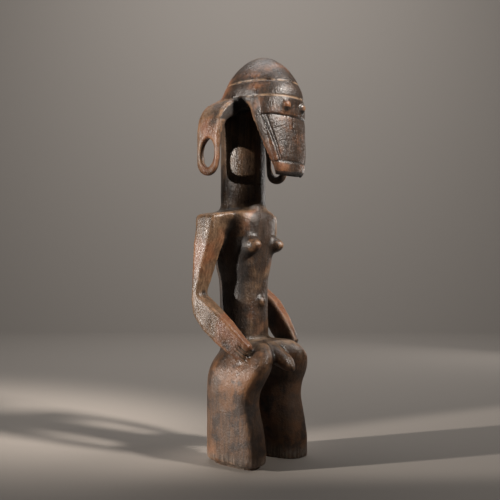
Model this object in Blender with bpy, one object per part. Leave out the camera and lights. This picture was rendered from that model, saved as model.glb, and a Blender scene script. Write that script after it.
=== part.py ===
"""A standing guardian figure carved from one log of hardwood: a helmet-shaped head with a long face
plate and pierced ear flaps, a post neck, a column torso, arms bent to the thighs and two slab legs."""

import math

import bmesh
import bpy
from mathutils import Vector

# Driving sizes. The carving's proportions are shares of its height: one UNIT is one centimetre on a
# figure 70.3 cm tall. The figure faces -Y, its left side is at +X, and its soles stand on Z = 0.
FIGURE_HEIGHT = 0.703
UNIT = FIGURE_HEIGHT / 70.3

NECK_RADIUS = 4.0 * UNIT
FRONT_REACH = 12.0 * UNIT
BACK_REACH = 4.45 * UNIT
EYE_RADIUS = 0.85 * UNIT
EYE_SPACING = 4.2 * UNIT
BREAST_SPACING = 5.6 * UNIT
EAR_THICKNESS = 1.0 * UNIT
EAR_HOLE_WIDTH = 3.35 * UNIT
EAR_HOLE_HEIGHT = 4.9 * UNIT
GROOVE_DEPTH = 0.16 * UNIT
GROOVE_WIDTH = 0.36 * UNIT
CUT_CLEARANCE = 0.5 * UNIT
WORN_SOLE_LIFT = 0.7 * UNIT

# The neck's axis stands behind the origin, which is under the middle of the figure's depth, from the
# eyes in front to the shoulder blades behind.
AXIS_Y = (FRONT_REACH - BACK_REACH) / 2

HEAD_POINT_COUNT = 40
KNOB_POINT_COUNT = 12
BODY_POINT_COUNT = 32
CORNER_POINT_COUNT = 3
SMOOTH_ANGLE = math.radians(32)


def clear_scene():
    for obj in list(bpy.data.objects):
        bpy.data.objects.remove(obj)


def at(x, y, z):
    """A point given in units from the neck's axis at floor level."""
    return Vector((x * UNIT, y * UNIT + AXIS_Y, z * UNIT))


def add_mesh(name, work):
    mesh = bpy.data.meshes.new(name)
    work.normal_update()
    work.to_mesh(mesh)
    work.free()
    obj = bpy.data.objects.new(name, mesh)
    bpy.context.scene.collection.objects.link(obj)
    return obj


def loft(name, rings):
    """A closed solid through rings of equal point counts, with a flat cap at each end."""
    work = bmesh.new()
    loops = [[work.verts.new(point) for point in ring] for ring in rings]
    count = len(loops[0])
    for lower, upper in zip(loops, loops[1:]):
        for i in range(count):
            j = (i + 1) % count
            work.faces.new((lower[i], lower[j], upper[j], upper[i]))
    work.faces.new(loops[0])
    work.faces.new(loops[-1])
    bmesh.ops.recalc_face_normals(work, faces=work.faces)
    return add_mesh(name, work)


def superellipse(angle, exponent):
    """A point of the unit superellipse: exponent 2 is a circle, a larger one is squarer."""
    c = math.cos(angle)
    s = math.sin(angle)
    power = 2 / exponent
    return math.copysign(abs(c) ** power, c), math.copysign(abs(s) ** power, s)


def oval_ring(height, half_width, half_depth, middle_y, exponent, points):
    """A level ring round the figure's middle plane, in units."""
    ring = []
    for i in range(points):
        x, y = superellipse(math.tau * i / points, exponent)
        ring.append(at(half_width * x, middle_y + half_depth * y, height))
    return ring


def rounded_ring(corners):
    """A ring through (point, radius) corners, each rounded by a curve of CORNER_POINT_COUNT points."""
    ring = []
    count = len(corners)
    for i, (corner, radius) in enumerate(corners):
        before = corners[i - 1][0] - corner
        after = corners[(i + 1) % count][0] - corner
        start = corner + before.normalized() * min(radius, before.length * 0.48)
        end = corner + after.normalized() * min(radius, after.length * 0.48)
        for k in range(CORNER_POINT_COUNT):
            t = k / (CORNER_POINT_COUNT - 1)
            ring.append(start * (1 - t) ** 2 + corner * 2 * t * (1 - t) + end * t ** 2)
    return ring


def knob(name, centre, direction, profile):
    """A small turned knob: its profile lists (distance along the direction, radius) in units."""
    direction = Vector(direction).normalized()
    across = direction.orthogonal().normalized()
    up = direction.cross(across)
    rings = []
    for along, radius in profile:
        ring = []
        for i in range(KNOB_POINT_COUNT):
            angle = math.tau * i / KNOB_POINT_COUNT
            offset = across * math.cos(angle) + up * math.sin(angle)
            ring.append(centre + direction * along * UNIT + offset * radius * UNIT)
        rings.append(ring)
    return loft(name, rings)


def groove_rows(rows, height):
    """Adds a V-shaped groove at a height to the rows (height, half width, half depth, ...)."""
    half = GROOVE_WIDTH / UNIT / 2
    depth = GROOVE_DEPTH / UNIT
    for offset, inset in ((-half, 0), (0, depth), (half, 0)):
        row = between(rows, height + offset)
        rows.append((height + offset, row[0] - inset, row[1] - inset) + tuple(row[2:]))
    rows.sort()


def between(rows, height):
    """The values of a table of (height, ...) rows at a height, straight between its rows."""
    for low, high in zip(rows, rows[1:]):
        if height <= high[0]:
            share = (height - low[0]) / (high[0] - low[0])
            return [a + (b - a) * share for a, b in zip(low[1:], high[1:])]
    return list(rows[-1][1:])


# Head. All of it, with the ears and the neck's top, is laid out from the dome's rim.

RIM_HEIGHT = 61.4
DOME_ROWS = [
    # height above the rim, half width, half depth, squareness
    (0.0, 5.7, 7.0, 2.3),
    (0.4, 6.05, 7.35, 2.3),
    (1.8, 6.05, 7.35, 2.3),
    (2.7, 5.9, 7.1, 2.2),
    (4.7, 5.15, 6.2, 2.1),
    (6.0, 4.4, 5.3, 2.0),
    (7.1, 3.45, 4.2, 2.0),
    (8.0, 2.4, 2.95, 2.0),
    (8.6, 1.35, 1.7, 2.0),
    (8.9, 0.4, 0.5, 2.0),
]
DOME_MIDDLE_Y = -4.4
BROW_LINE_RISE = 0.95
UPPER_LINE_RISE = 3.7


def make_dome():
    rows = list(DOME_ROWS)
    groove_rows(rows, BROW_LINE_RISE)
    groove_rows(rows, UPPER_LINE_RISE)
    rings = []
    for rise, half_width, half_depth, squareness in rows:
        height = RIM_HEIGHT + rise
        rings.append(oval_ring(height, half_width, half_depth, DOME_MIDDLE_Y, squareness, HEAD_POINT_COUNT))
    return loft("dome", rings)


PLATE_ROWS = [
    # height from the rim, half width, front middle y, front corner y, thickness at the middle, at the sides
    (-11.9, 3.9, -11.6, -10.65, 1.1, 0.8),
    (-10.5, 4.1, -11.7, -10.7, 1.5, 1.1),
    (-8.2, 4.85, -11.65, -10.2, 1.9, 1.5),
    (-3.0, 5.85, -11.5, -9.1, 2.6, 2.2),
    (-1.0, 6.0, -11.55, -8.7, 3.6, 2.6),
    (1.0, 5.9, -11.6, -8.2, 5.0, 3.6),
]
CHIN_SLOPE = 0.75
EYE_LINE_DROP = 2.3
MOUTH_LINE_DROP = 10.0
PLATE_SPAN_COUNT = 12
# How the front bows back to its corners, and how its points crowd towards them.
PLATE_BOW = 2.1
PLATE_SPREAD = 1.13
BACK_SHARE = 0.97


def plate_front(share, rise):
    """A point on the face plate's front, at a share of its half width from the middle."""
    half_width, middle_y, corner_y = between(PLATE_ROWS, rise)[:3]
    x = half_width * math.sin(share * PLATE_SPREAD) / math.sin(PLATE_SPREAD)
    return x, middle_y + (corner_y - middle_y) * abs(share) ** PLATE_BOW


def plate_ring(rise, inset):
    """The level section of the face plate: a bowed front, and a hollowed back behind it."""
    middle_wall, side_wall = between(PLATE_ROWS, rise)[3:]
    height = RIM_HEIGHT + rise
    drop = CHIN_SLOPE if rise == PLATE_ROWS[0][0] else 0.0
    front = []
    back = []
    for i in range(PLATE_SPAN_COUNT + 1):
        share = 2 * i / PLATE_SPAN_COUNT - 1
        x, y = plate_front(share, rise)
        wall = middle_wall + (side_wall - middle_wall) * abs(share) ** PLATE_BOW
        front.append(at(x, y + inset, height))
        back.append(at(x * BACK_SHARE, y + wall, height - drop))
    return front + back[::-1]


def make_face_plate():
    half = GROOVE_WIDTH / UNIT / 2
    lines = (-EYE_LINE_DROP, -MOUTH_LINE_DROP)
    rises = [row[0] for row in PLATE_ROWS]
    for line in lines:
        rises += [line - half, line, line + half]
    rings = [plate_ring(rise, GROOVE_DEPTH / UNIT if rise in lines else 0.0) for rise in sorted(rises)]
    return loft("face_plate", rings)


# how far in from the plate's edge each incised line starts, and how far in it meets the mouth line
FACE_LINES = [(0.04, 0.19), (0.15, 0.29)]
FACE_LINE_STEPS = 4


def make_face_line(side, top_inset, low_inset):
    """The cutter for an incised line that runs down beside the plate's edge to the mouth."""
    half = GROOVE_WIDTH / UNIT / 2
    depth = GROOVE_DEPTH / UNIT
    clear = CUT_CLEARANCE / UNIT
    top = -EYE_LINE_DROP - GROOVE_WIDTH / UNIT
    rings = []
    for i in range(FACE_LINE_STEPS + 1):
        share = i / FACE_LINE_STEPS
        rise = top - (MOUTH_LINE_DROP + top) * share
        inset = top_inset + (low_inset - top_inset) * share
        x, y = plate_front(side * (1 - inset), rise)
        height = RIM_HEIGHT + rise
        ring = [at(x, y + depth, height), at(x - half, y - clear, height), at(x + half, y - clear, height)]
        rings.append(ring)
    return loft("face_line", rings)


EYE_DROP = 0.55
EYE_STUD_LENGTH = 2.0 * UNIT
# how far a stud stands out of the forehead, which is the plate's top row
EYE_PROUD = 0.4 * UNIT


def make_eye(side):
    length = EYE_STUD_LENGTH / UNIT
    radius = EYE_RADIUS / UNIT
    tip_y = PLATE_ROWS[-1][2] - EYE_PROUD / UNIT
    centre = at(side * EYE_SPACING / UNIT / 2, tip_y + length, RIM_HEIGHT - EYE_DROP)
    profile = [(0.0, radius), (length * 0.75, radius), (length * 0.95, radius * 0.7), (length, radius * 0.3)]
    return knob("eye", centre, (0, -1, 0), profile)


EAR_PATH = [
    # outer x, height from the rim, the wall's lean inward and down, share of the thickness, front y
    (3.7, 1.6, 0.15, -1.0, 2.4, -3.2),
    (5.6, 1.2, -0.35, -1.0, 2.6, -3.2),
    (7.2, 0.3, -0.55, -0.9, 2.6, -3.2),
    (8.6, -1.0, -0.75, -0.6, 2.2, -3.2),
    (9.5, -2.5, -0.95, -0.3, 1.75, -3.15),
    (9.85, -4.4, -1.0, -0.1, 1.42, -3.0),
    (9.9, -7.4, -1.0, 0.0, 1.15, -2.75),
    (9.9, -9.8, -1.0, 0.0, 0.95, -2.7),
]
EAR_BACK_Y = 2.05
EAR_LOBE_RADIUS = 2.45
EAR_LOBE_STEPS = 5
EAR_LOBE_TURN = math.radians(80)
EAR_EDGE_RADIUS = 0.25 * UNIT
EAR_HOLE_Y = -0.3
EAR_HOLE_DROP = 8.35
EAR_HOLE_POINT_COUNT = 20
# The hole opens backwards towards the ear's outer face, by this much.
EAR_HOLE_FLARE = 0.6 * UNIT


def ear_ring(side, x, rise, lean_x, lean_z, share, front_y, back_y=EAR_BACK_Y):
    """A section across the ear flap, square at its edges but for a worn corner."""
    z = RIM_HEIGHT + rise
    lean = Vector((lean_x, lean_z)).normalized() * EAR_THICKNESS / UNIT * share
    inner_x = x + lean.x
    inner_z = z + lean.y
    corners = [
        (at(side * x, front_y, z), EAR_EDGE_RADIUS),
        (at(side * x, back_y, z), EAR_EDGE_RADIUS),
        (at(side * inner_x, back_y, inner_z), EAR_EDGE_RADIUS),
        (at(side * inner_x, front_y, inner_z), EAR_EDGE_RADIUS),
    ]
    return rounded_ring(corners)


def make_ear(side):
    rings = [ear_ring(side, *row) for row in EAR_PATH]
    x, z, lean_x, lean_z, share, front_y = EAR_PATH[-1]
    middle_y = (front_y + EAR_BACK_Y) / 2
    for i in range(1, EAR_LOBE_STEPS + 1):
        angle = EAR_LOBE_TURN * i / EAR_LOBE_STEPS
        half_width = (EAR_BACK_Y - front_y) / 2 * math.cos(angle)
        low = z - EAR_LOBE_RADIUS * math.sin(angle)
        ends = (middle_y - half_width, middle_y + half_width)
        rings.append(ear_ring(side, x, low, lean_x, lean_z, share, *ends))
    return loft("ear", rings)


def make_ear_hole(side):
    outer = EAR_PATH[-1][0] + CUT_CLEARANCE / UNIT
    inner = EAR_PATH[-1][0] - (EAR_THICKNESS + 2 * CUT_CLEARANCE) / UNIT
    rings = []
    for x, flare in ((inner, EAR_HOLE_FLARE), (outer, 0.0)):
        middle = at(side * x, EAR_HOLE_Y, RIM_HEIGHT - EAR_HOLE_DROP) - Vector((0, flare / 2, 0))
        half_width = (EAR_HOLE_WIDTH - flare) / 2
        ring = []
        for i in range(EAR_HOLE_POINT_COUNT):
            a, b = superellipse(math.tau * (i + 0.5) / EAR_HOLE_POINT_COUNT, 2.1)
            ring.append(middle + Vector((0, a * half_width, b * EAR_HOLE_HEIGHT / 2)))
        rings.append(ring)
    return loft("ear_hole", rings)


# the arch cut up into the dome's rim, between the ear's root and the back of the face plate
ARCH_Y = -4.3
ARCH_DROP = 0.5
ARCH_HALF_WIDTH = 1.1
ARCH_HALF_HEIGHT = 1.45
ARCH_INNER_X = 3.6
ARCH_OUTER_X = 8.0
ARCH_POINT_COUNT = 16


def make_arch(side):
    rings = []
    for x in (ARCH_INNER_X, ARCH_OUTER_X):
        ring = []
        for i in range(ARCH_POINT_COUNT):
            angle = math.tau * (i + 0.5) / ARCH_POINT_COUNT
            y = ARCH_Y + ARCH_HALF_WIDTH * math.cos(angle)
            rise = ARCH_HALF_HEIGHT * math.sin(angle) - ARCH_DROP
            ring.append(at(side * x, y, RIM_HEIGHT + rise))
        rings.append(ring)
    return loft("arch", rings)


# Neck, torso and shoulders

# height, share of the neck's radius: a slight foot at the shoulders
NECK_FOOT_ROWS = [(41.5, 1.0), (43.5, 1.07), (43.8, 1.07), (44.5, 1.0)]
# height from the rim, share of the neck's radius: a taper that dies into the dome
NECK_TOP_ROWS = [(-0.2, 1.0), (1.2, 0.93), (3.2, 0.58)]


def make_neck():
    radius = NECK_RADIUS / UNIT
    rows = NECK_FOOT_ROWS + [(RIM_HEIGHT + rise, share) for rise, share in NECK_TOP_ROWS]
    rings = [oval_ring(z, radius * share, radius * share, 0, 2, BODY_POINT_COUNT) for z, share in rows]
    return loft("neck", rings)


TORSO_ROWS = [
    # height, half width, half depth, middle y, squareness
    (16.2, 2.6, 2.6, -0.3, 2.4),
    (18.0, 3.6, 3.6, -0.3, 2.5),
    (20.2, 4.0, 4.0, -0.2, 2.6),
    (23.0, 4.05, 4.05, -0.2, 2.6),
    (26.0, 3.95, 3.95, -0.2, 2.6),
    (29.0, 3.95, 3.95, -0.15, 2.6),
    (31.5, 4.05, 4.05, -0.1, 2.6),
    (33.6, 4.55, 4.5, -0.05, 2.6),
    (36.0, 4.8, 4.65, BACK_REACH / UNIT - 4.65, 2.7),
    (39.0, 5.0, 4.7, -0.35, 2.8),
    (42.0, 5.3, 4.6, -0.4, 3.0),
    (43.2, 5.2, 4.3, -0.3, 3.0),
    (43.6, 4.9, 4.0, -0.2, 3.0),
]


def make_torso():
    return loft("torso", [oval_ring(*row, points=BODY_POINT_COUNT) for row in TORSO_ROWS])


# How far in front of the neck's axis the knobs on the torso are rooted, and their heights.
KNOB_ROOT_Y = -3.4
BREAST_HEIGHT = 37.6
NAVEL_HEIGHT = 27.7
# distance out along the knob, radius
BREAST_PROFILE = [(0.0, 1.45), (1.4, 1.5), (2.1, 1.3), (2.8, 0.9), (3.3, 0.3)]
NAVEL_PROFILE = [(0.0, 1.0), (1.0, 1.0), (1.4, 0.8), (1.7, 0.3)]


def make_breast(side):
    centre = at(side * BREAST_SPACING / UNIT / 2, KNOB_ROOT_Y, BREAST_HEIGHT)
    return knob("breast", centre, (side * 0.15, -1, -0.02), BREAST_PROFILE)


def make_navel():
    return knob("navel", at(0, KNOB_ROOT_Y, NAVEL_HEIGHT), (0, -1, 0), NAVEL_PROFILE)


def bar(name, sections, radius):
    """A limb through four-cornered sections, with its edges rounded."""
    rings = [rounded_ring([(at(*corner), radius) for corner in section]) for section in sections]
    return loft(name, rings)


YOKE_EDGE_RADIUS = 0.5 * UNIT
ARM_EDGE_RADIUS = 0.6 * UNIT
FOREARM_EDGE_RADIUS = 0.35 * UNIT


def level_section(side, height, outer, inner, front, back):
    return [
        (side * outer, front, height),
        (side * outer, back, height),
        (side * inner, back, height),
        (side * inner, front, height),
    ]


YOKE_ROWS = [
    # x, front y at the top, front y at the bottom, back y, bottom height, top height
    (-9.05, -0.7, -0.6, 3.3, 41.0, 42.5),
    (-8.7, -1.1, -0.8, 3.4, 40.3, 42.9),
    (-7.2, -1.8, -0.8, 3.5, 40.0, 43.1),
    (-5.4, -2.7, -1.0, 3.6, 39.9, 43.3),
    (-3.0, -3.9, -3.0, 3.7, 39.4, 43.6),
    (0.0, -4.4, -3.6, 3.7, 39.0, 43.7),
    (3.0, -3.9, -3.0, 3.7, 39.4, 43.7),
    (5.4, -2.8, -1.1, 3.6, 39.9, 43.6),
    (7.2, -1.9, -0.9, 3.5, 40.0, 43.4),
    (8.7, -1.2, -0.9, 3.4, 40.3, 43.2),
    (9.05, -0.8, -0.7, 3.3, 41.0, 42.8),
]


def make_shoulders():
    """The level yoke from which both arms hang."""
    sections = []
    for x, crest, front, back, low, high in YOKE_ROWS:
        sections.append([(x, front, low), (x, back, low), (x, back, high), (x, crest, high)])
    return bar("shoulders", sections, YOKE_EDGE_RADIUS)


UPPER_ARM_ROWS = [
    # height, outer x, inner x, front y, back y
    (25.1, 9.3, 7.0, 1.4, 3.1),
    (25.8, 9.45, 6.9, 1.4, 3.6),
    (27.6, 9.6, 6.8, 1.9, 3.9),
    (29.6, 9.6, 6.6, 2.1, 3.85),
    (34.1, 9.5, 5.85, 0.9, 3.6),
    (38.7, 9.4, 5.2, -0.6, 3.45),
    (40.6, 9.25, 4.9, -1.05, 3.25),
    (42.1, 8.6, 4.6, -0.9, 3.0),
]
FOREARM_ROWS = [
    # top edge y, z, bottom edge y, z, outer x, inner x
    (2.4, 29.0, 3.6, 25.3, 9.5, 6.7),
    (-0.6, 27.0, 1.4, 22.9, 9.2, 6.5),
    (-3.7, 24.3, -1.2, 20.5, 8.4, 6.2),
    (-6.0, 21.9, -3.8, 18.7, 7.6, 5.9),
    (-7.3, 20.6, -5.5, 17.5, 7.1, 5.6),
]
# The left elbow sits a little higher and further forward than the right. The lift dies away up the
# arm between these two heights.
LEFT_ELBOW_LIFT = 0.9
LEFT_ELBOW_ADVANCE = 1.1
LIFT_START_HEIGHT = 34.1
LIFT_FULL_HEIGHT = 25.1


def make_upper_arm(side):
    lift = LEFT_ELBOW_LIFT if side > 0 else 0.0
    sections = []
    for height, outer, inner, front, back in UPPER_ARM_ROWS:
        low = max(0.0, (LIFT_START_HEIGHT - height) / (LIFT_START_HEIGHT - LIFT_FULL_HEIGHT))
        sections.append(level_section(side, height + lift * low, outer, inner, front, back))
    return bar("upper_arm", sections, ARM_EDGE_RADIUS)


def make_forearm(side):
    sections = []
    last = len(FOREARM_ROWS) - 1
    for i, (top_y, top_z, low_y, low_z, outer, inner) in enumerate(FOREARM_ROWS):
        share = 1 - i / last if side > 0 else 0.0
        lift = LEFT_ELBOW_LIFT * share
        advance = LEFT_ELBOW_ADVANCE * (share if i else 0.3)
        sections.append([
            (side * outer, top_y - advance, top_z + lift),
            (side * outer, low_y - advance, low_z + lift),
            (side * inner, low_y - advance, low_z + lift),
            (side * inner, top_y - advance, top_z + lift),
        ])
    return bar("forearm", sections, FOREARM_EDGE_RADIUS)


FINGER_COUNT = 4
FINGER_LENGTH = 2.5
FINGER_GAP_SHARE = 0.8
FINGERTIP_TAPER = 0.2


def make_finger_gap(side, number):
    """The cutter for one of the straight gaps between the fingers, on the hand's outer face."""
    (_, _, _, _, wrist_outer, _), (top_y, top_z, low_y, low_z, outer, _) = FOREARM_ROWS[-2:]
    tip = Vector((top_y, top_z)).lerp(Vector((low_y, low_z)), number / FINGER_COUNT)
    down = (Vector((low_y, low_z)) - Vector((top_y, top_z))).normalized()
    back = Vector((-down.y, down.x))
    half = GROOVE_WIDTH / UNIT * FINGER_GAP_SHARE / 2
    depth = GROOVE_DEPTH / UNIT
    clear = CUT_CLEARANCE / UNIT
    rings = []
    for run, face in ((-clear, outer - FINGERTIP_TAPER), (FINGER_LENGTH, wrist_outer)):
        middle = tip + back * run
        ring = []
        for offset, x in ((0.0, face - depth), (-half, face + clear), (half, face + clear)):
            point = middle + down * offset
            ring.append(at(side * x, point.x, point.y))
        rings.append(ring)
    return loft("finger_gap", rings)


# Hips and legs

LEG_ROWS = [
    # height, outer x, front y, back y, crest x, then the inner corners: x, y and the inner wall's x,
    # the rounding of the outer front corner and the flat across the outer back corner
    (0.0, 8.2, -9.0, 3.7, 4.3, 3.0, -7.4, 2.4, 1.6, 2.65),
    (3.5, 8.3, -9.0, 3.7, 4.3, 3.0, -7.4, 2.4, 1.6, 2.75),
    (7.0, 8.2, -8.4, 3.7, 4.2, 3.1, -6.9, 2.4, 1.6, 2.65),
    (9.0, 8.15, -7.8, 3.7, 4.2, 3.2, -6.4, 2.4, 1.6, 2.55),
    (11.0, 8.15, -7.4, 3.7, 4.2, 3.2, -6.1, 2.3, 1.7, 2.55),
    (13.0, 8.3, -7.9, 3.8, 4.2, 3.1, -6.3, 2.0, 2.0, 2.9),
    (15.0, 8.2, -9.1, 3.8, 4.1, 2.6, -7.4, 1.3, 2.8, 3.0),
    (16.6, 7.7, -9.9, 3.8, 4.1, 2.3, -8.2, 0.3, 3.6, 3.1),
    (17.9, 7.0, -10.25, 3.7, 4.1, 2.2, -8.5, -0.5, 4.0, 3.6),
    (19.1, 6.2, -10.0, 3.4, 4.0, 2.2, -8.4, -0.5, 3.8, 3.9),
    (20.1, 5.3, -9.3, 2.5, 3.7, 2.1, -7.8, -0.5, 3.0, 4.0),
    (20.9, 4.2, -8.0, 1.0, 3.1, 1.8, -6.8, -0.5, 2.0, 3.2),
]
# The left leg is carved a little taller than the right.
LEFT_LEG_RISE = 1.007
# Its shin is also hollowed less above the foot, by this much at this height, over this reach.
LEFT_SHIN_FILL = 0.35
SHIN_HEIGHT = 10.5
SHIN_REACH = 4.0
# The right foot's sole is cut away under its outer and front rim, so that it bears on this smaller area.
WORN_SOLE = (7.1, -7.7, 3.2, 4.5, 3.3, -6.7, 2.7, 1.6, 2.6)
CALF_ROUNDING = 1.6
SHIN_ROUNDING = 1.2
HEEL_ROUNDING = 0.8
INNER_BEVEL_DEPTH = 2.6


def leg_ring(side, height, outer, front, back, crest, inner, inner_y, wall, rounding, flat):
    corners = [
        ((outer - flat, back), CALF_ROUNDING),
        ((outer, back - flat), CALF_ROUNDING),
        ((outer, front), rounding),
        ((crest, front), SHIN_ROUNDING),
        ((inner, inner_y), SHIN_ROUNDING),
        ((wall, inner_y + INNER_BEVEL_DEPTH), SHIN_ROUNDING),
        ((wall, back), HEEL_ROUNDING),
    ]
    return rounded_ring([(at(side * x, y, height), radius * UNIT) for (x, y), radius in corners])


def make_leg(side):
    rings = []
    for height, outer, front, *rest in LEG_ROWS:
        if side > 0:
            front -= LEFT_SHIN_FILL * max(0.0, 1 - abs(height - SHIN_HEIGHT) / SHIN_REACH)
            height *= LEFT_LEG_RISE
        rings.append(leg_ring(side, height, outer, front, *rest))
    if side < 0:
        lift = WORN_SOLE_LIFT / UNIT
        rings[0] = leg_ring(side, lift, *LEG_ROWS[0][1:])
        rings.insert(0, leg_ring(side, lift * 0.9, *WORN_SOLE))
        rings.insert(0, leg_ring(side, 0.0, *WORN_SOLE))
    return loft("leg", rings)


RIDGE_ROWS = [
    # y, height, radius of the ridge that runs from the lap down between the thighs
    (-3.0, 19.1, 1.7),
    (-6.2, 19.1, 1.75),
    (-8.3, 18.3, 1.75),
    (-9.7, 17.6, 1.55),
    (-10.6, 17.2, 1.2),
    (-11.0, 17.0, 0.6),
]
RIDGE_POINT_COUNT = 12
LOIN_TIP_ROOT = (0, -9.8, 17.6)
LOIN_TIP_DIRECTION = (0, -0.75, -0.62)
LOIN_TIP_PROFILE = [(0.0, 0.95), (1.0, 0.9), (1.7, 0.6), (2.2, 0.2)]


def make_loin_ridge():
    rings = []
    for y, z, radius in RIDGE_ROWS:
        ring = []
        for i in range(RIDGE_POINT_COUNT):
            angle = math.tau * (i + 0.5) / RIDGE_POINT_COUNT
            ring.append(at(radius * math.cos(angle), y, z + radius * math.sin(angle)))
        rings.append(ring)
    return loft("loin_ridge", rings)


def make_loin_tip():
    return knob("loin_tip", at(*LOIN_TIP_ROOT), LOIN_TIP_DIRECTION, LOIN_TIP_PROFILE)


# Assembly

def join(target, tool, operation):
    """Adds a union or a cut by a guide form, which itself isn't part of the figure."""
    tool.hide_render = True
    tool.display_type = "WIRE"
    modifier = target.modifiers.new(tool.name, "BOOLEAN")
    modifier.operation = operation
    modifier.solver = "EXACT"
    modifier.object = tool


def make_wood():
    wood = bpy.data.materials.new("carved_wood")
    wood.use_nodes = True
    shader = wood.node_tree.nodes["Principled BSDF"]
    shader.inputs["Base Color"].default_value = (0.075, 0.045, 0.03, 1)
    shader.inputs["Roughness"].default_value = 0.5
    shader.inputs["Metallic"].default_value = 0.0
    return wood


def make_figure():
    figure = make_torso()
    figure.name = "figure"
    forms = [make_neck(), make_shoulders(), make_dome(), make_face_plate(), make_navel()]
    forms += [make_loin_ridge(), make_loin_tip()]
    for side in (-1, 1):
        forms += [
            make_leg(side),
            make_upper_arm(side),
            make_forearm(side),
            make_breast(side),
            make_eye(side),
            make_ear(side),
        ]
    for form in forms:
        join(figure, form, "UNION")
    for side in (-1, 1):
        join(figure, make_ear_hole(side), "DIFFERENCE")
        join(figure, make_arch(side), "DIFFERENCE")
        for line in FACE_LINES:
            join(figure, make_face_line(side, *line), "DIFFERENCE")
        for number in range(1, FINGER_COUNT):
            join(figure, make_finger_gap(side, number), "DIFFERENCE")
    figure.data.materials.append(make_wood())
    figure.data.shade_smooth()
    figure.data.set_sharp_from_angle(angle=SMOOTH_ANGLE)
    return figure


clear_scene()
make_figure()
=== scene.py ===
"""A standing guardian figure carved from one log of dark hardwood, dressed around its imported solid."""

import math

import bmesh
import bpy
import numpy as np
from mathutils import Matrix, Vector, noise


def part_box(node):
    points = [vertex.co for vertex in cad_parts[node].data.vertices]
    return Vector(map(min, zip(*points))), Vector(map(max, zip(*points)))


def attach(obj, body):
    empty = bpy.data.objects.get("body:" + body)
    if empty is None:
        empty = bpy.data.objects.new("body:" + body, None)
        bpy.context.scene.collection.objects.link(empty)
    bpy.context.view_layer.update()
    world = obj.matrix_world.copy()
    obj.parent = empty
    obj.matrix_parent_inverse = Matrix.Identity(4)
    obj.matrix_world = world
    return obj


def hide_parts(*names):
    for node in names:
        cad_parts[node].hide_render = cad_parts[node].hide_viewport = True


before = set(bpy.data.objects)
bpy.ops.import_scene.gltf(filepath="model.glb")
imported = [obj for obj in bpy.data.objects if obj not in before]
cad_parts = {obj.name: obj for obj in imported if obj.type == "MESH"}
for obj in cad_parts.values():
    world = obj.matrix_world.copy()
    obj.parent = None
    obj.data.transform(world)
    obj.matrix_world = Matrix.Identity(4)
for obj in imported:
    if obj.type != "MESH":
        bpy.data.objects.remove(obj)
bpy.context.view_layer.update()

# The carving. The real figure is one log shaped with adze and knife, every form running into the
# next, so a copy of the solid gets one even skin whose facets are rubbed down as far as the maker's
# rubbing and a century of hands have rounded each place.

# The figure was laid out in shares of its height: one CM is a centimetre on a figure 70.3 cm tall.
LAID_OUT_HEIGHT = 70.3
FEET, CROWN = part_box("figure")
CM = (CROWN.z - FEET.z) / LAID_OUT_HEIGHT
NECK_Y = FEET.y + 12.0 * CM
SKIN_STEP = 0.28 * CM
MERGE_REACH = 0.001 * CM
RUB_ROUNDS = 36
FINISH_ROUNDS = 2

# Where the forms lie, in CM from the neck's axis at floor level.
RIM = 61.5
PLATE_FRONT = -8.0
PLATE_LOW, PLATE_HIGH = 48.4, 61.6
CHIN_LOW, CHIN_HIGH = 50.0, 51.0
PANEL_FOOT, PANEL_HALF_WIDTH, PANEL_FLARE = 49.5, 3.4, 0.25
ARCH_SIDE = 3.5
ARCH_FRONT, ARCH_BACK = -5.7, -2.9
ARCH_LOW, ARCH_HIGH = 58.5, 62.5
ELBOW_Y, ELBOW_Z = 3.0, 27.1
ELBOW_LOW, ELBOW_HIGH = 23.0, 31.0
FOREARM_FORWARD, FOREARM_DOWN = 0.758, 0.653
FOREARM_LENGTH = 14.2
FOREARM_ABOVE, FOREARM_BELOW = 2.4, 2.7
FOREARM_SIDE = 5.4
SHOULDER_TOP = 44.5
SHOULDER_SIDE = 6.5
CHEST_LOW = 38.5
NECK_RADIUS = 4.7
TORSO_SIDE = 5.2
LEGS_TOP = 21.5
LEGS_SIDE = 8.6
RIDGE_TOP = 20.6
RIDGE_SIDE = 2.3
RIDGE_ROOT = -6.0
SOLE_REACH = 1.2


def from_neck(point):
    """A point of the piece in CM from the neck's axis at floor level."""
    return Vector((point.x, point.y - NECK_Y, point.z)) / CM


def ease(value, start, end):
    """0 at start and 1 at end, eased between; start may be the larger one."""
    share = min(1.0, max(0.0, (value - start) / (end - start)))
    return share * share * (3.0 - 2.0 * share)


def near(distance, reach):
    """1 at no distance, falling to 0 at the reach."""
    return 1.0 - ease(abs(distance), 0.0, reach)


def on_plate(p):
    """Whether a place lies on the face plate, from the chin up to the rim."""
    return p.y < PLATE_FRONT and PLATE_LOW < p.z < PLATE_HIGH


def along_forearm(p):
    """How far a place lies from the elbow towards the finger tips, and across that line downward."""
    forward, down = ELBOW_Y - p.y, ELBOW_Z - p.z
    along = forward * FOREARM_FORWARD + down * FOREARM_DOWN
    across = down * FOREARM_FORWARD - forward * FOREARM_DOWN
    return along, across


def on_forearm(p):
    """Whether a place lies on a forearm or its hand."""
    along, across = along_forearm(p)
    within = 0.0 < along < FOREARM_LENGTH and -FOREARM_ABOVE < across < FOREARM_BELOW
    return within and abs(p.x) > FOREARM_SIDE


def under_arch(p):
    """Whether a place lies in the arch between an ear's root and the back of the face."""
    return abs(p.x) > ARCH_SIDE and ARCH_FRONT < p.y < ARCH_BACK and ARCH_LOW < p.z < ARCH_HIGH


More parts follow.
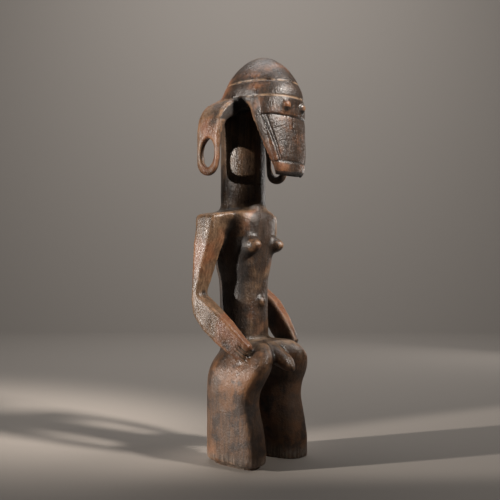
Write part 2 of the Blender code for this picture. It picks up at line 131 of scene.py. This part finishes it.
def rubbed(p):
    """How rounded a place is, from 0 for a crisp edge to 1."""
    side = abs(p.x)
    if on_forearm(p):
        return 0.1
    if p.z < RIDGE_TOP and side < RIDGE_SIDE and p.y < RIDGE_ROOT:
        return 0.12
    if p.z < LEGS_TOP and side < LEGS_SIDE:
        return ease(p.z, 0.0, SOLE_REACH)
    if on_plate(p):
        if p.z < CHIN_HIGH:
            return 1.0 - 0.6 * ease(p.z, CHIN_LOW, CHIN_HIGH)
        on_panel = side < PANEL_HALF_WIDTH + PANEL_FLARE * (p.z - PANEL_FOOT)
        return 0.06 if on_panel else 0.3
    if under_arch(p):
        return 0.15
    if p.z > RIM:
        return 1.0
    if p.z > SHOULDER_TOP and math.hypot(p.x, p.y) < NECK_RADIUS:
        return 0.5
    if CHEST_LOW - 0.5 < p.z < SHOULDER_TOP and side > SHOULDER_SIDE:
        return 1.0
    if CHEST_LOW < p.z < SHOULDER_TOP:
        return 0.7
    if p.z < SHOULDER_TOP and side < TORSO_SIDE:
        return 0.5
    if ELBOW_LOW < p.z < ELBOW_HIGH:
        return 0.3
    return 0.12


bpy.ops.object.select_all(action="DESELECT")
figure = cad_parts["figure"].copy()
figure.data = figure.data.copy()
figure.name = "carved_figure"
figure.parent = None
for key in list(figure.keys()):
    del figure[key]
bpy.context.scene.collection.objects.link(figure)
bpy.context.view_layer.objects.active = figure
figure.select_set(True)
bpy.ops.object.mode_set(mode="EDIT")
bpy.ops.mesh.select_all(action="SELECT")
bpy.ops.mesh.remove_doubles(threshold=MERGE_REACH)
bpy.ops.object.mode_set(mode="OBJECT")
figure.data.materials.clear()
remesh = figure.modifiers.new("skin", "REMESH")
remesh.mode = "VOXEL"
remesh.voxel_size = SKIN_STEP
bpy.ops.object.modifier_apply(modifier=remesh.name)

softness = figure.vertex_groups.new(name="rubbed")
for vertex in figure.data.vertices:
    softness.add([vertex.index], rubbed(from_neck(vertex.co)), "REPLACE")
rub_down = figure.modifiers.new("rub_down", "SMOOTH")
rub_down.factor = 0.5
rub_down.iterations = RUB_ROUNDS
rub_down.vertex_group = softness.name
bpy.ops.object.modifier_apply(modifier=rub_down.name)
finish = figure.modifiers.new("finish", "SMOOTH")
finish.factor = 0.5
finish.iterations = FINISH_ROUNDS
bpy.ops.object.modifier_apply(modifier=finish.name)
figure.vertex_groups.clear()


# Fine work on the same piece: the incised lines round the dome and down the face, the gaps between the
# fingers, tool marks, grain and checks. The skin is divided finer where a line or a check runs.

DOME_LINES = (62.35, 65.1)
BROW_LINE = 59.1
MOUTH_LINE = 51.4
FRAME_LINES = (3.57, 3.17)
FRAME_SPREAD = 0.3
FACE_CHECKS = (((-0.5, 57.8), (0.0, 55.3)), ((0.3, 54.8), (1.5, 54.1)), ((-1.9, 51.5), (-1.2, 50.6)))
HAND_TOP = 23.0
FINGER_ROOT = 10.2
FINGER_TIP = 13.3
FINGER_GAPS = (-0.62, 0.0, 0.62)
CHECK_REACH = 3.4
EDGE_ROUNDS = 10
LAP = 21.0
UNDER_LAP = 17.5
# The band of heights where the torso's sides, in the arms' shadow, and the arms' inner faces get painted
# shade.
SHADE_BAND_LOW, SHADE_BAND_TOP = 23.0, 39.0
BODY_SIDE = 5.0
NECK_FOOT = 44.0
EAR_LOW, EAR_SIDE = 47.5, 5.5
STUD_FRONT, STUD_LOW = -11.9, 59.6


def needs_detail(p, normal):
    """Whether a face lies where a line, a finger gap or a check is cut."""
    if on_plate(p):
        return normal.y < 0.2
    if p.z > RIM:
        return min(abs(p.z - line) for line in DOME_LINES) < 0.6
    if p.z < HAND_TOP and on_forearm(p):
        return along_forearm(p)[0] > FINGER_ROOT - 0.4 and abs(p.x) > 6.5
    return p.z < 2.6 and p.y < -5.0


detail = bmesh.new()
detail.from_mesh(figure.data)
chosen = [face for face in detail.faces if needs_detail(from_neck(face.calc_center_median()), face.normal)]
edges = list({edge for face in chosen for edge in face.edges})
bmesh.ops.subdivide_edges(detail, edges=edges, cuts=1, use_grid_fill=True)
detail.to_mesh(figure.data)
detail.free()


def curvature(mesh, rounds):
    """How far each vertex stands out of its smoothed neighbourhood, in CM: above 0 on an edge."""
    count = len(mesh.vertices)
    here = np.empty(count * 3)
    mesh.vertices.foreach_get("co", here)
    here = here.reshape(-1, 3) / CM
    ends = np.empty(len(mesh.edges) * 2, dtype=int)
    mesh.edges.foreach_get("vertices", ends)
    a, b = ends.reshape(-1, 2).T
    valence = np.bincount(ends, minlength=count)[:, None]
    smooth = here.copy()
    for _ in range(rounds):
        total = np.empty_like(smooth)
        for axis in range(3):
            total[:, axis] = np.bincount(a, smooth[b, axis], count) + np.bincount(b, smooth[a, axis], count)
        smooth = total / valence
    normals = np.empty(count * 3)
    mesh.vertices.foreach_get("normal", normals)
    return ((here - smooth) * normals.reshape(-1, 3)).sum(axis=1)


def on_face(p, normal):
    """Whether a place lies on the plate's front."""
    return on_plate(p) and normal.y <= -0.3


def from_panel(p):
    """How far a place lies from the face's middle line, less what the frame spreads up to there."""
    return abs(p.x) - FRAME_SPREAD * (p.z - MOUTH_LINE)


def finger_gap(p, reach):
    """How near a place on the hand is to a gap between two fingers, from 0 to 1 in the gap."""
    along, across = along_forearm(p)
    within = ease(along, FINGER_ROOT, FINGER_ROOT + 0.7) * ease(along, FINGER_TIP, FINGER_TIP - 0.4)
    return within * max(near(across - gap, reach) for gap in FINGER_GAPS)


def off_stretch(p, start, end):
    """How far a place on the face lies from a straight stretch between two of its points."""
    place, origin = Vector((p.x, p.z)), Vector(start)
    stretch = Vector(end) - origin
    share = min(1.0, max(0.0, (place - origin).dot(stretch) / stretch.length_squared))
    return (place - origin - share * stretch).length


def incised(p, normal):
    """How deep the carved lines cut at a place, in CM."""
    if p.z > RIM:
        wobble = 0.07 * noise.noise(p * 0.5)
        return 0.1 * max(near(p.z - line + wobble, 0.2) for line in DOME_LINES)
    if p.z < HAND_TOP and on_forearm(p):
        return 0.14 * finger_gap(p, 0.16)
    if not on_face(p, normal):
        return 0.0
    wobble = 0.06 * noise.noise(p * 0.8)
    ragged = 0.12 * noise.noise(p * 2.3)
    depths = [0.12 * near(p.z - BROW_LINE + wobble, 0.2)]
    depths += [0.12 * near(p.z - MOUTH_LINE + wobble + ragged, 0.24)]
    if MOUTH_LINE < p.z < BROW_LINE:
        depths += [0.12 * near(from_panel(p) + wobble - line, 0.16) for line in FRAME_LINES]
        depths += [0.09 * near(off_stretch(p, *ends) + wobble, 0.14) for ends in FACE_CHECKS]
    return max(depths)


def sunk(p, normal):
    """How deep the face's panel lies below the forehead band and the chin, in CM."""
    if not on_face(p, normal) or not MOUTH_LINE < p.z < BROW_LINE:
        return 0.0
    under_brow = ease(p.z, BROW_LINE - 1.6, BROW_LINE) * ease(p.z, BROW_LINE, BROW_LINE - 0.12)
    over_mouth = ease(p.z, MOUTH_LINE + 0.9, MOUTH_LINE) * ease(p.z, MOUTH_LINE, MOUTH_LINE + 0.12)
    within_frame = ease(from_panel(p), FRAME_LINES[1], FRAME_LINES[1] - 0.1)
    return 0.08 * (under_brow + over_mouth) * within_frame


def checked(p):
    """How deep a drying check opens at a place near the soles, in CM."""
    if p.z > CHECK_REACH:
        return 0.0
    field = noise.noise(Vector((p.x * 1.5, p.y * 1.5, 3.0 + p.z * 0.1)))
    open_above = CHECK_REACH * (0.45 + 0.5 * noise.noise(Vector((p.x * 0.9, p.y * 0.9, 9.0))))
    return 0.16 * near(field, 0.05) * ease(p.z, open_above, 0.0)


def tooled(p, normal):
    """The uneven surface left by the tools, in CM."""
    swell = 0.045 * noise.noise(p * 0.42)
    facet = 0.03 * (noise.voronoi(p * 0.75)[0][0] - 0.4)
    if on_plate(p):
        return 0.3 * (swell + facet) if on_face(p, normal) else 0.0
    if p.z < LAP:
        grain = noise.noise(Vector((p.x * 1.7, p.y * 1.7, p.z * 0.25)))
        return swell + 0.012 * grain + 0.6 * facet
    return 0.7 * swell + facet


def handled(p):
    """How far handling has worn the dark patina to bare brown wood, from 0 to 1."""
    if p.z > RIM:
        back_of_dome = ease(p.y, -4.0, 1.0) * ease(p.z, 68.5, 65.0)
        return 0.1 + 0.3 * back_of_dome
    if on_plate(p):
        on_stud = p.y < STUD_FRONT and p.z > STUD_LOW
        chin_corner = ease(p.z, MOUTH_LINE, MOUTH_LINE - 0.8) * ease(p.x, 1.0, -4.0)
        return 0.8 if on_stud else 0.1 + 0.3 * chin_corner
    if p.z > EAR_LOW and abs(p.x) > EAR_SIDE:
        return 0.2 + 0.45 * ease(p.y, -1.0, 1.8)
    if p.z > NECK_FOOT:
        return 0.25
    on_arm = p.z > 17.0 and abs(p.x) > 5.3 and (p.z >= LAP or on_forearm(p))
    if on_arm:
        return (0.45 if p.x < 0.0 else 0.3) - 0.3 * ease(p.z, HAND_TOP, HAND_TOP - 4.0)
    if p.z > LAP:
        return 0.2 - 0.25 * ease(p.y, -4.2, -4.8)
    return 0.4 * ease(p.z, 19.0, 12.0)


def painted_shade_amount(p, normal):
    """How much painted shade darkens a place, from 0 to 1: under the ear arches and the chin, on the ears'
    inner faces, the torso's sides in the arms' shadow, the arms' inner faces and the legs under the lap.
    """
    side = abs(p.x)
    faces_inward = normal.x * p.x < 0.0
    # Painted shade under the ear arches, under the chin and on the ears' inner faces.
    if under_arch(p) and normal.z < 0.2:
        return 1.0
    if on_plate(p) and normal.z < -0.4:
        return 0.9
    if p.z > 49.0 and side > 4.5 and normal.x * p.x < -0.3:
        return 0.8
    # Painted shadow of the arms on the torso's sides.
    if SHADE_BAND_LOW < p.z < SHADE_BAND_TOP and side < BODY_SIDE and p.y > -4.6:
        return 0.7 * ease(side, 2.4, 3.6)
    # Painted shade on the arms' inner faces.
    if 18.0 < p.z < SHADE_BAND_TOP and side > BODY_SIDE and faces_inward:
        return 0.55 * ease(abs(normal.x), 0.2, 0.6)
    # Painted shade on the legs' fronts and inner faces under the lap.
    if p.z < UNDER_LAP and (normal.y < -0.6 or faces_inward):
        return 0.55 * ease(p.z, UNDER_LAP, UNDER_LAP - 3.5) * ease(p.z, 0.5, 4.0)
    return 0.0


def dusty(p):
    """How much pale dust and old libation lies in a place, from 0 to 1."""
    if p.z > RIM:
        return max(near(p.z - line, 0.3) for line in DOME_LINES)
    if p.z > NECK_FOOT - 2.0:
        return 0.55 * near(p.z - NECK_FOOT - 0.2, 1.2)
    if on_forearm(p):
        return finger_gap(p, 0.3)
    return 0.6 * near(p.z - LAP + 0.2, 1.6)


mesh = figure.data
standing_out = curvature(mesh, EDGE_ROUNDS)
lines, checks, handling, dust, painted_shade = np.zeros((5, len(mesh.vertices)))
moved = np.empty((len(mesh.vertices), 3))
for vertex in mesh.vertices:
    p = from_neck(vertex.co)
    lines[vertex.index] = incised(p, vertex.normal)
    checks[vertex.index] = checked(p)
    handling[vertex.index] = handled(p)
    dust[vertex.index] = dusty(p)
    # Painted shade: how dark each shaded place is to be painted.
    painted_shade[vertex.index] = painted_shade_amount(p, vertex.normal)
    cut = lines[vertex.index] + checks[vertex.index] + sunk(p, vertex.normal)
    lift = tooled(p, vertex.normal) * ease(p.z, 0.0, 0.8) - cut
    moved[vertex.index] = vertex.co + vertex.normal * lift * CM
moved[:, 2] = np.maximum(moved[:, 2], FEET.z)
mesh.vertices.foreach_set("co", moved.ravel())
mesh.update()

for name, values in (
    ("edge", np.clip(standing_out / 0.12, -1.0, 1.0)),
    ("line", np.clip(lines / 0.1, 0.0, 1.0)),
    ("check", np.clip(checks / 0.12, 0.0, 1.0)),
    ("handled", handling),
    ("dust", dust),
    ("painted_shade", painted_shade),
):
    layer = mesh.attributes.new(name, "FLOAT", "POINT")
    layer.data.foreach_set("value", values.astype(np.float32))
mesh.shade_smooth()


# The wood's surface: an oiled dark patina on the head, body and arms, worn to warm brown on the edges,
# drier brown legs with open grain and pale dust in the dome's lines, with painted shade darkening the
# hollows, the places other parts shade, and the face's lines and checks.

OILED = (0.018, 0.012, 0.009), (0.044, 0.027, 0.018)
WORN = (0.080, 0.047, 0.027), (0.165, 0.102, 0.060)
RUSTY = (0.140, 0.054, 0.026), (0.215, 0.092, 0.042)
DRY = (0.050, 0.025, 0.012), (0.115, 0.055, 0.025)
GREY_FOOT = (0.070, 0.050, 0.038), (0.240, 0.190, 0.150)
DRY_ORANGE = (0.200, 0.088, 0.034)
DRY_BLOTCH = (0.026, 0.016, 0.011)
RUBBED_EDGE = (0.280, 0.150, 0.075)
NICK = (0.230, 0.135, 0.080)
# Painted shade: the near black that concave places are darkened towards.
PAINTED_HOLLOW_SHADE = (0.010, 0.007, 0.005)
PALE_DUST = (0.330, 0.215, 0.130)
# Painted shade: the near black for the face's lines, the checks and the shaded places.
PAINTED_SHADE_BLACK = (0.008, 0.006, 0.005)
DRY_TOP = LAP * CM
GRAIN_STRETCH = 0.09
EDGE_WEAR = 0.22
PAINTED_SHADE_DULLS = 0.35
RELIEF_DEPTH = 0.16 * CM

wood = bpy.data.materials.new("patinated_wood")
wood.use_nodes = True
tree = wood.node_tree
shader = tree.nodes["Principled BSDF"]


def node(kind, **settings):
    made = tree.nodes.new(kind)
    for name, value in settings.items():
        setattr(made, name, value)
    return made


def feed(socket, value):
    """Gives a socket a plain number or colour, or joins another node's output to it."""
    if isinstance(value, bpy.types.NodeSocket):
        tree.links.new(value, socket)
    elif isinstance(value, tuple):
        socket.default_value = (*value, 1.0)
    else:
        socket.default_value = value


def math_node(operation, *values, clamp=True):
    made = node("ShaderNodeMath", operation=operation, use_clamp=clamp)
    for socket, value in zip(made.inputs, values):
        feed(socket, value)
    return made.outputs[0]


def remap(value, low, high, to_low=0.0, to_high=1.0):
    made = node("ShaderNodeMapRange", interpolation_type="SMOOTHSTEP")
    feed(made.inputs["Value"], value)
    feed(made.inputs["From Min"], low)
    feed(made.inputs["From Max"], high)
    feed(made.inputs["To Min"], to_low)
    feed(made.inputs["To Max"], to_high)
    return made.outputs["Result"]


def mix(share, first, second):
    """A colour between two, each of them a socket or a plain colour."""
    made = node("ShaderNodeMix", data_type="RGBA")
    feed(made.inputs["Factor"], share)
    feed(made.inputs[6], first)
    feed(made.inputs[7], second)
    return made.outputs[2]


def streaked(shades, low=0.35, high=0.7):
    """A wood colour whose grain runs between two shades."""
    return mix(remap(streaks, low, high), *shades)


def noise_at(place, scale, detail_levels, roughness=0.55):
    made = node("ShaderNodeTexNoise")
    feed(made.inputs["Vector"], place)
    feed(made.inputs["Scale"], scale)
    feed(made.inputs["Detail"], detail_levels)
    feed(made.inputs["Roughness"], roughness)
    return made.outputs["Fac"]


def attribute(name):
    return node("ShaderNodeAttribute", attribute_name=name).outputs["Fac"]


place = node("ShaderNodeTexCoord").outputs["Object"]
stretch = node("ShaderNodeMapping")
feed(stretch.inputs["Vector"], place)
stretch.inputs["Scale"].default_value = (1.0, 1.0, GRAIN_STRETCH)
along_grain = stretch.outputs["Vector"]
height = node("ShaderNodeSeparateXYZ")
feed(height.inputs["Vector"], place)
level = height.outputs["Z"]

broad = noise_at(place, 9.0, 3.0)
blotches = noise_at(place, 26.0, 6.0, 0.62)
patches = noise_at(place, 70.0, 6.0, 0.68)
streaks = noise_at(along_grain, 260.0, 5.0, 0.6)
fibres = noise_at(along_grain, 700.0, 3.0, 0.6)
scuffs = noise_at(place, 240.0, 5.0, 0.62)
flecks = noise_at(place, 520.0, 3.0, 0.7)
edge = attribute("edge")
line = attribute("line")
check = attribute("check")
handled_share = attribute("handled")
# The painted shade carried on the mesh.
painted_shade_share = attribute("painted_shade")

# The patina, worn through to bare wood where hands and edges have thinned it.
worn_share = math_node("MULTIPLY_ADD", edge, EDGE_WEAR, handled_share, clamp=False)
thinned = math_node("ADD", worn_share, blotches, clamp=False)
wood_colour = mix(remap(thinned, 0.64, 0.98), streaked(OILED), streaked(WORN))
rust = math_node("MULTIPLY", remap(broad, 0.48, 0.62), remap(thinned, 0.60, 0.95))
wood_colour = mix(rust, wood_colour, streaked(RUSTY))

# The dry legs and the grey soles.
dry = mix(remap(broad, 0.42, 0.58), streaked(DRY, 0.3, 0.72), DRY_ORANGE)
dry = mix(math_node("MULTIPLY", remap(blotches, 0.50, 0.62), 0.85), dry, DRY_BLOTCH)
legs = remap(level, DRY_TOP, DRY_TOP - 6.0 * CM)
wood_colour = mix(math_node("MULTIPLY", legs, remap(blotches, 0.25, 0.55)), wood_colour, dry)
foot = remap(level, 3.2 * CM, 0.8 * CM)
wood_colour = mix(math_node("MULTIPLY", foot, remap(patches, 0.3, 0.6)), wood_colour, streaked(GREY_FOOT))

# Rubbed edges, nicks and dust, and painted shade in the hollows, in the shaded places and in the open lines
# and checks.
rubbed_edge = math_node("MULTIPLY", remap(edge, 0.35, 1.0), remap(patches, 0.42, 0.66))
wood_colour = mix(math_node("MULTIPLY", rubbed_edge, 0.6), wood_colour, RUBBED_EDGE)
wood_colour = mix(math_node("MULTIPLY", remap(flecks, 0.60, 0.72), 0.5), wood_colour, NICK)
# Painted shade: concave places darkened towards near black.
wood_colour = mix(math_node("MULTIPLY", remap(edge, -0.15, -0.8), 0.85), wood_colour, PAINTED_HOLLOW_SHADE)
caught = math_node("MULTIPLY", attribute("dust"), remap(patches, 0.36, 0.62))
wood_colour = mix(math_node("MULTIPLY", caught, 0.75), wood_colour, PALE_DUST)
on_dome = remap(level, RIM * CM, (RIM + 0.4) * CM)
# Painted shade: the face's incised lines, the checks and the shaded places darkened to near black.
painted_shade_mask = math_node("MULTIPLY", line, math_node("SUBTRACT", 1.0, on_dome))
painted_shade_mask = math_node("MAXIMUM", painted_shade_mask, math_node("MULTIPLY", painted_shade_share, 0.9))
wood_colour = mix(math_node("MAXIMUM", painted_shade_mask, check), wood_colour, PAINTED_SHADE_BLACK)
feed(shader.inputs["Base Color"], wood_colour)

sheen = remap(patches, 0.3, 0.7, 0.25, 0.46)
dry_dulls = remap(level, DRY_TOP - 3.0 * CM, DRY_TOP - 10.0 * CM, 0.0, 0.25)
dull = math_node("ADD", sheen, dry_dulls, clamp=False)
# The places with painted shade are also made rougher.
feed(shader.inputs["Roughness"], math_node("MULTIPLY_ADD", painted_shade_share, PAINTED_SHADE_DULLS, dull, clamp=False))

open_grain = remap(level, DRY_TOP, DRY_TOP - 5.0 * CM, 0.25, 0.4)
bump = node("ShaderNodeBump")
feed(bump.inputs["Strength"], 0.7)
feed(bump.inputs["Distance"], RELIEF_DEPTH)
feed(bump.inputs["Height"], math_node("MULTIPLY_ADD", fibres, open_grain, scuffs, clamp=False))
feed(shader.inputs["Normal"], bump.outputs["Normal"])

figure.data.materials.append(wood)
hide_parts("figure")
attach(figure, "root")


# The floor. One plain sheet painted a pale warm grey, laid under the figure and swept up behind it
# into a plain wall, with a wide round bend between the two.

SWEEP_WIDTH = 7.0
SWEEP_DEPTH = 5.4
SWEEP_BEHIND = 2.3
SWEEP_HEIGHT = 3.0
SWEEP_CURVE = 1.2
VIEW_TURN = math.radians(-50)
PALE_PAINT = (0.36, 0.32, 0.285, 1.0)

bpy.ops.object.select_all(action="DESELECT")
bpy.ops.mesh.primitive_plane_add(size=1.0, location=(0, 0, 0))
sweep = bpy.context.object
sweep.name = "floor"
bpy.ops.object.mode_set(mode="EDIT")
bpy.ops.transform.resize(value=(SWEEP_WIDTH, SWEEP_DEPTH, 1.0))
bpy.ops.transform.translate(value=(0, SWEEP_BEHIND - SWEEP_DEPTH / 2, FEET.z))


def select_edges(obj, wanted):
    """Selects only the edges whose middle passes the test."""
    bpy.ops.mesh.select_all(action="DESELECT")
    work = bmesh.from_edit_mesh(obj.data)
    for edge in work.edges:
        edge.select_set(wanted((edge.verts[0].co + edge.verts[1].co) / 2))
    bmesh.update_edit_mesh(obj.data)


select_edges(sweep, lambda middle: middle.y > SWEEP_BEHIND - 0.01)
bpy.ops.mesh.extrude_region_move(TRANSFORM_OT_translate={"value": (0, 0, SWEEP_HEIGHT)})
select_edges(sweep, lambda middle: middle.y > SWEEP_BEHIND - 0.01 and middle.z < 0.01)
bpy.ops.mesh.bevel(offset=SWEEP_CURVE, segments=24, affect="EDGES")
bpy.ops.object.mode_set(mode="OBJECT")
sweep.rotation_euler.z = VIEW_TURN
bpy.ops.object.transform_apply(location=True, rotation=True, scale=True)
bpy.ops.object.shade_smooth()
paint = bpy.data.materials.new("floor_paint")
paint.use_nodes = True
paint_shader = paint.node_tree.nodes["Principled BSDF"]
paint_shader.inputs["Base Color"].default_value = PALE_PAINT
paint_shader.inputs["Roughness"].default_value = 0.9
sweep.data.materials.append(paint)


# The light. A narrow lamp at the figure's right throws an oval of light through the ear onto the neck,
# and a lower one beside it catches the right arm and leg. One soft-edged lamp stands in front and
# above, a weak one at the figure's left, and a broad one hangs over the sweep.

WARM = (1.0, 0.93, 0.86)
NEARLY_WHITE = (1.0, 0.96, 0.92)
DIM_SURROUND = (0.022, 0.020, 0.018, 1.0)


def aim(name, lamp, towards, distance, height):
    """Puts a lamp in a direction from a point at this height in the figure, facing it."""
    target = Vector((0, 0, height))
    direction = Vector(towards).normalized()
    holder = bpy.data.objects.new(name, lamp)
    holder.location = target + direction * distance
    holder.rotation_euler = (-direction).to_track_quat("-Z", "Y").to_euler()
    bpy.context.scene.collection.objects.link(holder)


def spot(name, towards, distance, height, reach, power, size=0.035, blend=0.35):
    """A spot whose beam covers this much above and below its point."""
    lamp = bpy.data.lights.new(name, "SPOT")
    lamp.spot_size = 2 * math.atan(reach / distance)
    lamp.spot_blend = blend
    lamp.shadow_soft_size = size
    lamp.energy = power
    lamp.color = WARM
    aim(name, lamp, towards, distance, height)


def soft_box(name, towards, distance, height, size, power):
    lamp = bpy.data.lights.new(name, "AREA")
    lamp.size = size
    lamp.energy = power
    lamp.color = NEARLY_WHITE
    aim(name, lamp, towards, distance, height)


spot("head_key", (-0.956, 0.284, 0.115), distance=2.0, height=0.60, reach=0.13, power=230.0)
spot("body_key", (-0.83, 0.55, 0.12), distance=2.2, height=0.20, reach=0.255, power=260.0)
spot("front", (0.10, -0.62, 0.45), distance=2.2, height=0.46, reach=0.34, power=450.0, size=0.16, blend=1.0)
soft_box("left_side", (1.0, 0.05, 0.08), distance=1.8, height=0.40, size=0.3, power=2.5)
wall_wash = bpy.data.lights.new("wall_wash", "AREA")
wall_wash.size = 1.6
wall_wash.energy = 36.0
washer = bpy.data.objects.new("wall_wash", wall_wash)
washer.location = (0.45, 0.38, 2.3)
washer.rotation_euler = (math.radians(38), 0, VIEW_TURN)
bpy.context.scene.collection.objects.link(washer)
world = bpy.data.worlds.new("surround")
world.use_nodes = True
world.node_tree.nodes["Background"].inputs["Color"].default_value = DIM_SURROUND
bpy.context.scene.world = world


# The camera. It stands level in front of the figure's right side, at the photograph's angle, and its
# shift raises the frame without tilting the upright lines.

LENS_LENGTH = 53.55
FRAME_SHIFT = 0.021
CAMERA_PLACE = (-1.01087, -0.82666, 0.3487)

lens = bpy.data.cameras.new("camera")
lens.lens = LENS_LENGTH
lens.shift_y = FRAME_SHIFT
camera = bpy.data.objects.new("camera", lens)
camera.location = CAMERA_PLACE
camera.rotation_euler = (math.radians(90), 0, VIEW_TURN)
bpy.context.scene.collection.objects.link(camera)
bpy.context.scene.camera = camera
bpy.context.scene.view_settings.view_transform = "Standard"
